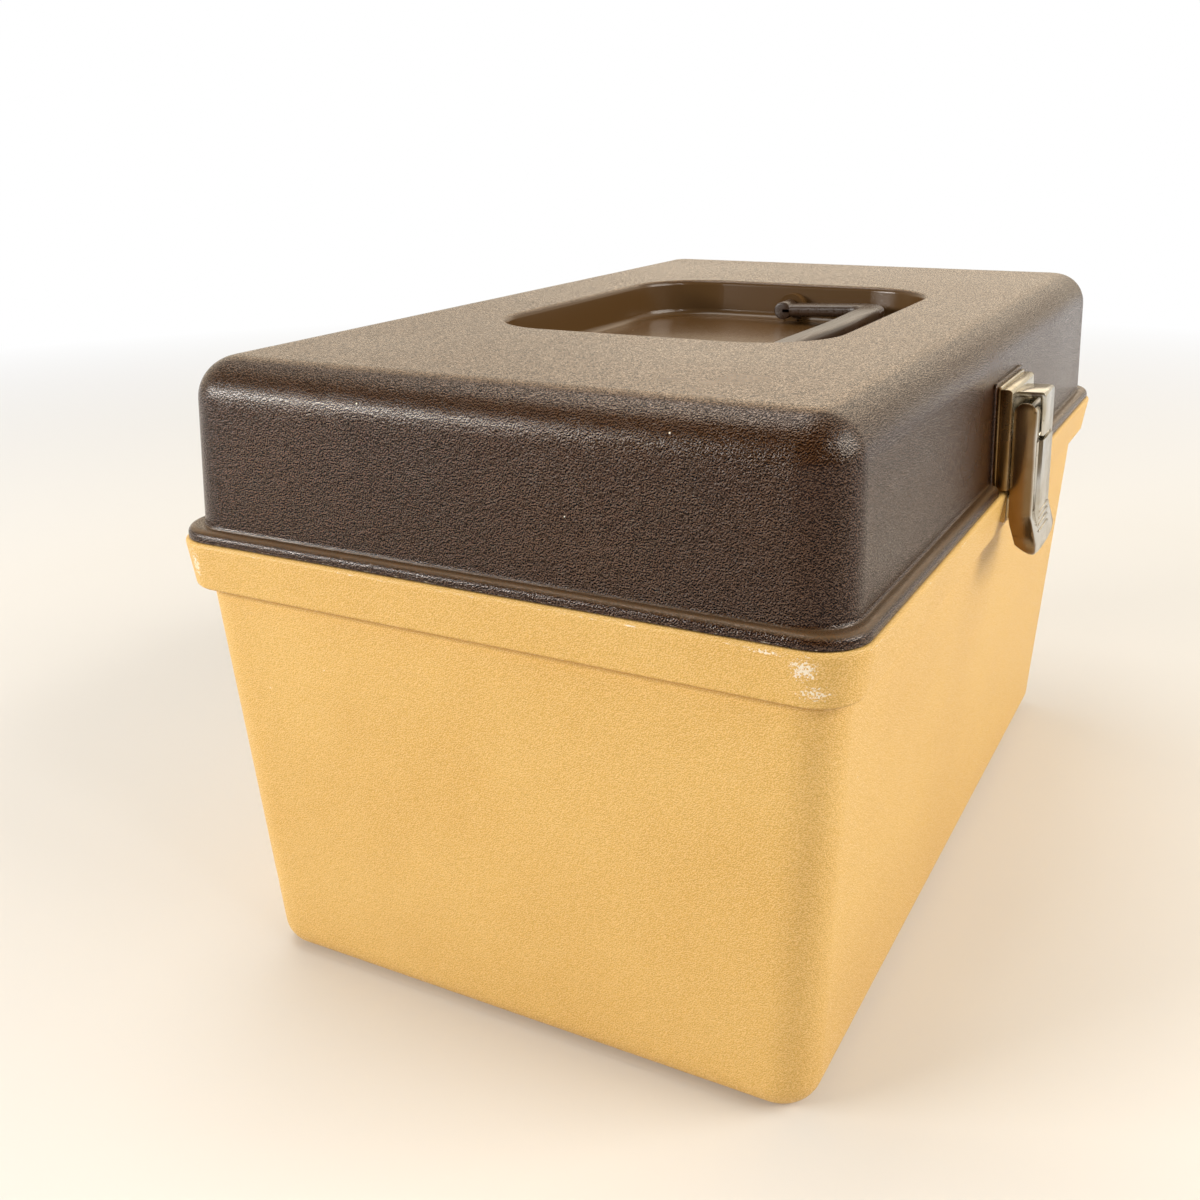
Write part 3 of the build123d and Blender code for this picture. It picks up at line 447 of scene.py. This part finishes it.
# %% Smooth plastic for the handle, the tray and its pegs
def smooth_plastic(name, colour, deep, roughness):
    """Satin plastic with a soft drift in tone, fine scratches and a trace of orange peel."""
    finish = bpy.data.materials.new(name)
    finish.use_nodes = True
    tree = finish.node_tree
    shader = tree.nodes["Principled BSDF"]
    place = put(tree, "TexCoord").outputs["Object"]
    tone = put(tree, "TexNoise", Vector=place, Scale=25.0, Detail=4.0, Roughness=0.6).outputs["Fac"]
    tree.links.new(blend(tree, fade(tree, tone, 0.35, 0.65), deep, colour), shader.inputs["Base Color"])
    along = put(tree, "Mapping", Vector=place, Scale=(0.05, 1.0, 1.0)).outputs["Vector"]
    scratch = put(tree, "TexNoise", Vector=along, Scale=900.0, Detail=3.0).outputs["Fac"]
    peel = put(tree, "TexNoise", Vector=place, Scale=420.0, Detail=1.0).outputs["Fac"]
    gloss = fade(tree, scratch, 0.35, 0.7, roughness - 0.05, roughness + 0.09)
    tree.links.new(gloss, shader.inputs["Roughness"])
    relief = sums(tree, "ADD", peel, sums(tree, "MULTIPLY", scratch, 0.2))
    bump = put(tree, "Bump", Height=relief, Strength=0.5, Distance=0.00006)
    tree.links.new(bump.outputs["Normal"], shader.inputs["Normal"])
    return finish


handle_plastic = smooth_plastic("smooth_brown_plastic", paint(62, 43, 29), paint(50, 34, 22), 0.30)
tray_plastic = smooth_plastic("tray_cream_plastic", paint(228, 205, 165), paint(220, 194, 150), 0.42)
print("smooth plastics:", handle_plastic.name, tray_plastic.name)

# %% [markdown]
# ## Plated metal
#
# The latch is steel with a thin bright plating that has yellowed, with fine rubbing marks and a few dark
# spots. Its front is kept bright by fingers, while its sides have gone brown. A clean mirror would look new,
# so roughness and tint both wander a little over the surface. The pins and the hinges get duller versions of
# the same finish.


# %% Plated metal
def plated_metal(name, bright, aged, roughness, marks, dark_beyond=None):
    """Old plating. dark_beyond is the distance from the middle, in mm, past which the sides are tarnished."""
    finish = bpy.data.materials.new(name)
    finish.use_nodes = True
    tree = finish.node_tree
    shader = tree.nodes["Principled BSDF"]
    shader.inputs["Metallic"].default_value = 1.0
    place = put(tree, "TexCoord").outputs["Object"]
    cloud = put(tree, "TexNoise", Vector=place, Scale=70.0, Detail=4.0, Roughness=0.65).outputs["Fac"]
    surface = blend(tree, fade(tree, cloud, 0.42, 0.68), bright, aged)
    pits = put(tree, "TexNoise", Vector=place, Scale=700.0, Detail=2.0).outputs["Fac"]
    surface = blend(tree, fade(tree, pits, 0.70, 0.76, 0.0, 0.6), surface, (0.10, 0.085, 0.07))
    if dark_beyond:
        aside = sums(tree, "ABSOLUTE", put(tree, "SeparateXYZ", Vector=place).outputs["X"])
        aside = sums(tree, "ADD", aside, sums(tree, "MULTIPLY", cloud, 0.0006))
        sides = fade(tree, aside, (dark_beyond - 0.2) * mm, (dark_beyond + 0.6) * mm, 0.0, 0.9)
        surface = blend(tree, sides, surface, paint(116, 84, 38))
    tree.links.new(surface, shader.inputs["Base Color"])
    stretched = put(tree, "Mapping", Vector=place, Scale=(1.0, 1.0, 0.06)).outputs["Vector"]
    rubbing = put(tree, "TexNoise", Vector=stretched, Scale=2600.0, Detail=3.0).outputs["Fac"]
    tree.links.new(fade(tree, cloud, 0.3, 0.7, roughness, roughness + 0.12), shader.inputs["Roughness"])
    scratch = put(tree, "Bump", Height=rubbing, Strength=marks, Distance=0.00003)
    tree.links.new(scratch.outputs["Normal"], shader.inputs["Normal"])
    return finish


lever_nickel = plated_metal("lever_nickel", (0.60, 0.565, 0.50), (0.46, 0.40, 0.30), 0.15, 0.35,
                            dark_beyond=15.6)
keeper_nickel = plated_metal("keeper_nickel", (0.56, 0.50, 0.38), (0.40, 0.32, 0.20), 0.22, 0.35,
                             dark_beyond=18.2)
hinge_nickel = plated_metal("hinge_nickel", (0.60, 0.58, 0.54), (0.46, 0.42, 0.34), 0.30, 0.5)
pin_steel = plated_metal("pin_steel", (0.48, 0.47, 0.45), (0.36, 0.33, 0.29), 0.32, 0.5)
print("metals:", lever_nickel.name, keeper_nickel.name, hinge_nickel.name, pin_steel.name)

# %% Give every measured part its finish
finish_of_slot = {
    "lid_brown": brown_plastic,
    "base_tan": tan_plastic,
    "tray_cream": tray_plastic,
    "latch_nickel": keeper_nickel,
    "spring_steel": pin_steel,
    "hinge_steel": hinge_nickel,
    "pin_steel": pin_steel,
    "rivet_steel": hinge_nickel,
}
for part in frame["record"]["subparts"]:
    node = frame["nodes"][part["node"]]
    node.data.materials.clear()
    node.data.materials.append(finish_of_slot[part["material_slot"]])

# %% [markdown]
# ## Modelling by hand
#
# The pressed and cast pieces that follow are modelled as one would with the mouse: a block is added at its
# size, and its faces, edges and points are picked by where they are and which way they face. Each helper
# below is one such step, such as add, pick, cut, move, extrude, round or join. Picking in code replaces the
# clicks, and nothing else changes.


# %% Helpers for modelling
def to_object_mode():
    if bpy.context.object and bpy.context.object.mode != "OBJECT":
        bpy.ops.object.mode_set(mode="OBJECT")


def block(name, x, y, z):
    """Adds a box between low and high values in millimetres, with its place in its mesh."""
    to_object_mode()
    bpy.ops.object.select_all(action="DESELECT")
    low = Vector((x[0], y[0], z[0])) * mm
    high = Vector((x[1], y[1], z[1])) * mm
    bpy.ops.mesh.primitive_cube_add(size=1, location=(low + high) / 2, scale=high - low)
    piece = bpy.context.object
    piece.name = name
    bpy.ops.object.transform_apply(location=True, rotation=True, scale=True)
    return piece


def pick(piece, kind, wanted):
    """Selects the faces, edges or points for which wanted(middle in mm, direction, element) is true."""
    bpy.context.view_layer.objects.active = piece
    if piece.mode != "EDIT":
        bpy.ops.object.mode_set(mode="EDIT")
    bpy.ops.mesh.select_mode(type=kind)
    bpy.ops.mesh.select_all(action="DESELECT")
    mesh = bmesh.from_edit_mesh(piece.data)
    mesh.normal_update()
    picked = 0
    if kind == "FACE":
        found = [(face.calc_center_median(), face.normal, face) for face in mesh.faces]
    elif kind == "EDGE":
        found = [((e.verts[0].co + e.verts[1].co) / 2, (e.verts[1].co - e.verts[0].co).normalized(), e)
                 for e in mesh.edges]
    else:
        found = [(point.co.copy(), point.normal, point) for point in mesh.verts]
    for middle, direction, element in found:
        if wanted(middle / mm, direction, element):
            element.select_set(True)
            picked += 1
    mesh.select_flush_mode()
    bmesh.update_edit_mesh(piece.data)
    return picked


def cut(piece, place, direction, remove=False):
    """Cuts a piece with a plane; with remove, the side that the direction points to goes."""
    pick(piece, "VERT", lambda at, way, point: True)
    bpy.ops.mesh.bisect(plane_co=Vector(place) * mm, plane_no=Vector(direction).normalized(),
                        clear_outer=remove)


def move_picked(x=0.0, y=0.0, z=0.0):
    bpy.ops.transform.translate(value=(x * mm, y * mm, z * mm))


def extrude_picked(x=0.0, y=0.0, z=0.0):
    bpy.ops.mesh.extrude_region_move(TRANSFORM_OT_translate={"value": (x * mm, y * mm, z * mm)})


def round_picked(radius, segments, corners="EDGES"):
    bpy.ops.mesh.bevel(offset=radius * mm, segments=segments, affect=corners)


def join_to(piece, others):
    """Joins other objects to a piece, which keeps its name."""
    to_object_mode()
    bpy.ops.object.select_all(action="DESELECT")
    for other in others:
        other.select_set(True)
    piece.select_set(True)
    bpy.context.view_layer.objects.active = piece
    bpy.ops.object.join()


def with_modifier(piece, kind, **settings):
    """Adds one modifier, sets it and applies it."""
    to_object_mode()
    bpy.context.view_layer.objects.active = piece
    modifier = piece.modifiers.new(kind.lower(), kind)
    for name, value in settings.items():
        setattr(modifier, name, value)
    bpy.ops.object.modifier_apply(modifier=modifier.name)


def soften(piece, width, segments=2):
    """Rounds every edge sharper than 35 degrees."""
    with_modifier(piece, "BEVEL", width=width * mm, segments=segments, limit_method="ANGLE",
                  angle_limit=math.radians(35))


def deliver(piece, body, nodes, finish):
    """Smooths a finished piece, dresses it, and lets it ride on its body in place of the plain parts."""
    to_object_mode()
    bpy.ops.object.select_all(action="DESELECT")
    piece.select_set(True)
    bpy.context.view_layer.objects.active = piece
    bpy.ops.object.transform_apply(location=True, rotation=True, scale=True)
    bpy.ops.object.shade_smooth_by_angle(angle=math.radians(40))
    piece.data.materials.clear()
    piece.data.materials.append(finish)
    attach(piece, body)
    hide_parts(*nodes)
    size = [round(v / mm, 1) for v in piece.dimensions]
    print(piece.name, "measures", size, "mm with", len(piece.data.polygons), "faces")


print("modelling helpers ready")

# %% [markdown]
# ## Where the latch stands
#
# The lid's front wall leans back by two degrees, and the latch leans with it. Each latch piece is modelled
# upright, with y running into the box and z up, measured from the foot of the lid's wall. At the end it is
# leaned back as a whole, so that its hinge pin meets the measured one.

# %% Lean a latch piece back on the wall
wall_lean = math.radians(2.0)
pin_out = 9.5
pin_height = 26.6


def on_latch(piece):
    """Leans a latch piece back with the wall, about the measured pin."""
    lean = Matrix.Rotation(-wall_lean, 4, "X")
    foot = pivots["latch_swing"] - (lean @ Vector((0, -pin_out, pin_height))) * mm
    to_object_mode()
    piece.matrix_world = Matrix.Translation(foot) @ lean


print("latch pin at", [round(v / mm, 2) for v in pivots["latch_swing"]])

# %% [markdown]
# ## The lever
#
# The lever is one piece of pressed sheet: a front, two sides that wrap back, two round ears about the pin
# with a notch between them, and a foot that kicks out for the fingertip. It could be drawn flat and folded,
# but a block whose back is thrown away leaves the same skin at once, and its two front edges are rounded as
# the folds. The notch, the raised panel and the two flutes beside it come next, and Solidify gives the skin
# its wall.

# %% Lever: the outside of the pressing
lever_half = 16.0
lever_front = 13.1
lever_back = 5.85
lever_tip = -21.0
lever_bend = -8.0
foot_top = -17.0
ear_radius = 3.65
foot_kick = 2.1
foot_flare = 1.125
# each cut that slopes the back of the sides: a point on it, and the way to what is thrown away
side_cuts = [((0, -lever_back, -9.0), (0, 8.0, -2.95)), ((0, -8.8, foot_top), (0, 4.0, -5.1))]

lever = block("latch_lever_pressing", (-lever_half, lever_half), (-lever_front, -lever_back),
              (lever_tip, pin_height + ear_radius))
pick(lever, "EDGE", lambda at, way, edge: abs(way.y) > 0.9 and at.z < lever_tip + 0.1)
round_picked(foot_top - lever_tip, 5)
pick(lever, "EDGE", lambda at, way, edge: abs(way.x) > 0.9 and at.z > pin_height + ear_radius - 0.1)
round_picked(ear_radius - 0.03, 8)
cut(lever, (0, 0, lever_bend), (0, 0, 1))
cut(lever, (0, 0, foot_top), (0, 0, 1))
pick(lever, "VERT", lambda at, way, point: at.z < foot_top + 0.05)
move_picked(y=-foot_kick)
bpy.ops.transform.resize(value=(foot_flare, 1, 1))
for place, away in side_cuts:
    cut(lever, place, away, remove=True)
pick(lever, "FACE", lambda at, way, face: abs(way.x) < 0.1 and way.y > -0.80)
bpy.ops.mesh.delete(type="FACE")
print("lever skin has", len(lever.data.polygons), "faces")


# %% Lever: round the two front folds
fold_radius = 1.1


def is_front(face):
    return face.normal.y < -0.8 and abs(face.normal.x) < 0.1


def is_fold(at, way, edge):
    return len(edge.link_faces) == 2 and sum(is_front(face) for face in edge.link_faces) == 1


pick(lever, "EDGE", is_fold)
round_picked(fold_radius, 3)
print("folds rounded")

# %% Lever: notch, raised panel and flutes
notch_half = 10.0
notch_foot = 16.8
panel_half = 8.5
panel_front = 14.35
panel_foot = -13.3
flute_inner = 9.3
flute_outer = 13.2
flute_foot = -6.5
flute_depth = 0.6

cut(lever, (0, 0, notch_foot), (0, 0, 1))
for x in (-notch_half, notch_half):
    cut(lever, (x, 0, 0), (1, 0, 0))
pick(lever, "FACE", lambda at, way, face: is_front(face) and abs(at.x) < notch_half and at.z > notch_foot)
bpy.ops.mesh.delete(type="FACE")
cut(lever, (0, 0, panel_foot), (0, 0, 1))
cut(lever, (0, 0, flute_foot), (0, 0, 1))
for x in (panel_half, flute_inner, flute_outer):
    cut(lever, (x, 0, 0), (1, 0, 0))
    cut(lever, (-x, 0, 0), (1, 0, 0))
pick(lever, "FACE", lambda at, way, face: is_front(face) and flute_inner < abs(at.x) < flute_outer
     and flute_foot < at.z < notch_foot)
extrude_picked(y=flute_depth)
pick(lever, "FACE", lambda at, way, face: is_front(face) and abs(at.x) < panel_half
     and panel_foot < at.z < notch_foot)
extrude_picked()
bpy.ops.transform.resize(value=(1, 0, 1), center_override=Vector((0, -panel_front, 0)) * mm)
print("panel and flutes pressed")

# %% Lever: wall, soft edges and finger ridges
sheet = 1.2
ridge_radius = 0.42
ridge_heights = (-7.6, -9.9, -12.2, -14.5)
ridge_half = 8.2

with_modifier(lever, "SOLIDIFY", thickness=sheet * mm, offset=-1, use_even_offset=True)
soften(lever, 0.28)
ridges = []
for height in ridge_heights:
    bpy.ops.object.select_all(action="DESELECT")
    slope_out = lever_front + foot_kick * (lever_bend - height) / (lever_bend - foot_top)
    out = max(panel_front, slope_out)
    bpy.ops.mesh.primitive_cylinder_add(vertices=12, radius=ridge_radius * mm, depth=2 * ridge_half * mm,
                                        location=Vector((0, -out, height)) * mm, rotation=(0, math.pi / 2, 0))
    ridge = bpy.context.object
    soften(ridge, 0.15)
    ridges.append(ridge)
join_to(lever, ridges)
on_latch(lever)
deliver(lever, "latch", ["latch_lever"], lever_nickel)

# %% [markdown]
# ## The keeper
#
# The keeper is a cast block riveted to the wall, with a rounded top edge and two cheeks that hold the lever's
# pin. Each cheek starts as a small block: rounding its two outer edges by half its height gives the eye round
# the pin, and moving its inner points down, the lower ones further, gives the root that slopes to the block.

# %% Keeper block and cheeks
keeper_half = 18.6
keeper_front = 5.55
keeper_back = 2.0
keeper_foot = 1.3
keeper_top = 34.9
eye_radius = 2.1
cheek_inner = 13.1
cheek_outer = 14.5
cheek_root = 4.9

keeper = block("latch_keeper_casting", (-keeper_half, keeper_half), (-keeper_front, -keeper_back),
               (keeper_foot, keeper_top))
pick(keeper, "EDGE", lambda at, way, edge: abs(way.x) > 0.9 and at.y < -keeper_front + 0.1
     and at.z > keeper_top - 0.1)
round_picked(1.5, 3)
pick(keeper, "EDGE", lambda at, way, edge: abs(way.z) > 0.9 and at.y < -keeper_front + 0.1)
round_picked(1.0, 3)
cheek = block("latch_cheek", (cheek_inner, cheek_outer), (-pin_out - eye_radius, -cheek_root),
              (pin_height - eye_radius, pin_height + eye_radius))
pick(cheek, "EDGE", lambda at, way, edge: abs(way.x) > 0.9 and at.y < -pin_out)
round_picked(eye_radius - 0.01, 6)
pick(cheek, "VERT", lambda at, way, point: at.y > -cheek_root - 0.1 and at.z < pin_height)
move_picked(z=-3.9)
pick(cheek, "VERT", lambda at, way, point: at.y > -cheek_root - 0.1 and at.z > pin_height)
move_picked(z=-2.4)
to_object_mode()
bpy.ops.object.duplicate_move(TRANSFORM_OT_translate={"value": (-(cheek_inner + cheek_outer) * mm, 0, 0)})
other_cheek = bpy.context.object
join_to(keeper, [cheek, other_cheek])
soften(keeper, 0.25)
on_latch(keeper)
deliver(keeper, "lid", ["latch_keeper"], keeper_nickel)

# %% [markdown]
# ## The strap and the back plate
#
# A flat strap comes out of the keeper's top, turns down in front of the lever's notch and ends just above the
# raised panel. Two extrusions from a short bar make it, and the bend is rounded afterwards. The back plate is
# a thin sheet behind the keeper, a little larger all round, so that only its rim shows.

# %% Strap
strap_half = 8.0
strap_top = 32.7
strap_front = 14.3
strap_drop = 12.7
strap_sheet = 1.8
strap_root = 3.55

strap = block("latch_strap_bar", (-strap_half, strap_half), (-strap_front + strap_sheet, -strap_root),
              (strap_top - strap_sheet, strap_top))
pick(strap, "FACE", lambda at, way, face: way.y < -0.9)
extrude_picked(y=-strap_sheet)
pick(strap, "FACE", lambda at, way, face: way.z < -0.9 and at.y < -strap_front + strap_sheet - 0.1)
extrude_picked(z=-strap_drop)
pick(strap, "EDGE", lambda at, way, edge: abs(way.x) > 0.9 and at.y < -strap_front + 0.1
     and at.z > strap_top - 0.1)
round_picked(1.5, 4)
soften(strap, 0.3)
on_latch(strap)
deliver(strap, "lid", ["latch_strap"], lever_nickel)

# %% Back plate
plate_half = 19.8
plate_back = 1.0
plate_foot = 0.9
plate_top = 35.7

back_plate = block("latch_back_sheet", (-plate_half, plate_half), (-keeper_back, -plate_back),
                   (plate_foot, plate_top))
pick(back_plate, "EDGE", lambda at, way, edge: abs(way.y) > 0.9)
round_picked(1.0, 3)
soften(back_plate, 0.3)
on_latch(back_plate)
deliver(back_plate, "lid", ["latch_back_plate"], keeper_nickel)

# %% [markdown]
# ## The carry handle
#
# The handle is a moulded bow: two flat arms, round corners and a grip that swells for the hand. Bending a bar
# along a curve would pinch its section, while Spin carries one section round each arc at its true width. One
# half is spun, its grip's rings are scaled one by one, thickest in the middle, and the half is mirrored. Two
# short round hubs, where the handle turns on its pins, are then joined to it.

# %% Handle: one half of the bow
pivot = pivots["handle_swing"] / mm
arm_x = 65.2
arm_width = 10.0
arm_thickness = 4.6
arm_edge_radius = 1.7
corner_radius = 10.0
corner_turn = math.radians(81.42)
corner_middle = Vector((arm_x - corner_radius, -28.16, pivot.z))
grip_radius = 380.0
grip_turn = math.radians(8.58)
grip_middle = Vector((0, 337.7, pivot.z))
grip_steps = 12

to_object_mode()
bpy.ops.object.select_all(action="DESELECT")
bpy.ops.mesh.primitive_plane_add(size=1, location=Vector((arm_x, 0, pivot.z)) * mm,
                                 rotation=(math.pi / 2, 0, 0))
handle = bpy.context.object
handle.name = "carry_handle_bow"
handle.scale = (arm_width * mm, arm_thickness * mm, 1)
bpy.ops.object.transform_apply(location=True, rotation=True, scale=True)
pick(handle, "VERT", lambda at, way, point: True)
round_picked(arm_edge_radius, 4, "VERTICES")
pick(handle, "FACE", lambda at, way, face: True)
extrude_picked(y=corner_middle.y)
bpy.ops.mesh.spin(steps=8, angle=corner_turn, center=corner_middle * mm, axis=(0, 0, 1))
bpy.ops.mesh.spin(steps=grip_steps, angle=grip_turn, center=grip_middle * mm, axis=(0, 0, 1))
grip_reach = -min(point.co.y for point in bmesh.from_edit_mesh(handle.data).verts)
print("grip reaches", round(grip_reach / mm, 1), "mm from the pivot")

# %% Handle: swell, mirror, hubs and tilt
swell_half = 52.0
swell_height = 7.4
swell_narrowing = 0.08
ring_reach = 9.0
hub_radius = 3.5
handle_tilt = math.radians(2.5)


def ring_at(step):
    """Where a ring of the grip has its middle, in millimetres."""
    turn = grip_turn * step / grip_steps
    return Vector((grip_radius * math.sin(turn), grip_middle.y - grip_radius * math.cos(turn), pivot.z))


def is_on_ring(at, middle, across):
    """True for a point in the plane of a ring and near its middle; across points out through the ring."""
    along = Vector((-across.y, across.x, 0))
    return abs((at - middle).dot(along)) < 0.2 and abs((at - middle).dot(across)) < ring_reach


for step in range(grip_steps + 1):
    middle = ring_at(step)
    if middle.x > swell_half:
        continue
    share = 1 - (middle.x / swell_half) ** 4
    thicker = 1 + (swell_height / arm_thickness - 1) * share
    narrower = 1 - swell_narrowing * share
    across = Vector((middle.x, middle.y - grip_middle.y, 0)).normalized()
    pick(handle, "VERT", lambda at, way, point: is_on_ring(at, middle, across))
    bpy.ops.transform.resize(value=(1, narrower, thicker), center_override=middle * mm)
pick(handle, "FACE", lambda at, way, face: abs(at.x) < 0.1)
bpy.ops.mesh.delete(type="FACE")
with_modifier(handle, "MIRROR", use_axis=(True, False, False), merge_threshold=0.0002)
pick(handle, "FACE", lambda at, way, face: True)
bpy.ops.mesh.normals_make_consistent(inside=False)
hubs = []
for side in (-1, 1):
    to_object_mode()
    bpy.ops.object.select_all(action="DESELECT")
    bpy.ops.mesh.primitive_cylinder_add(vertices=32, radius=hub_radius * mm, depth=arm_width * mm,
                                        location=Vector((side * arm_x, 0, pivot.z)) * mm,
                                        rotation=(0, math.pi / 2, 0))
    hub = bpy.context.object
    soften(hub, 0.5, 3)
    hubs.append(hub)
join_to(handle, hubs)
about = Matrix.Translation(pivot * mm)
handle.matrix_world = about @ Matrix.Rotation(-handle_tilt, 4, "X") @ about.inverted()
deliver(handle, "handle", ["carry_handle"], handle_plastic)
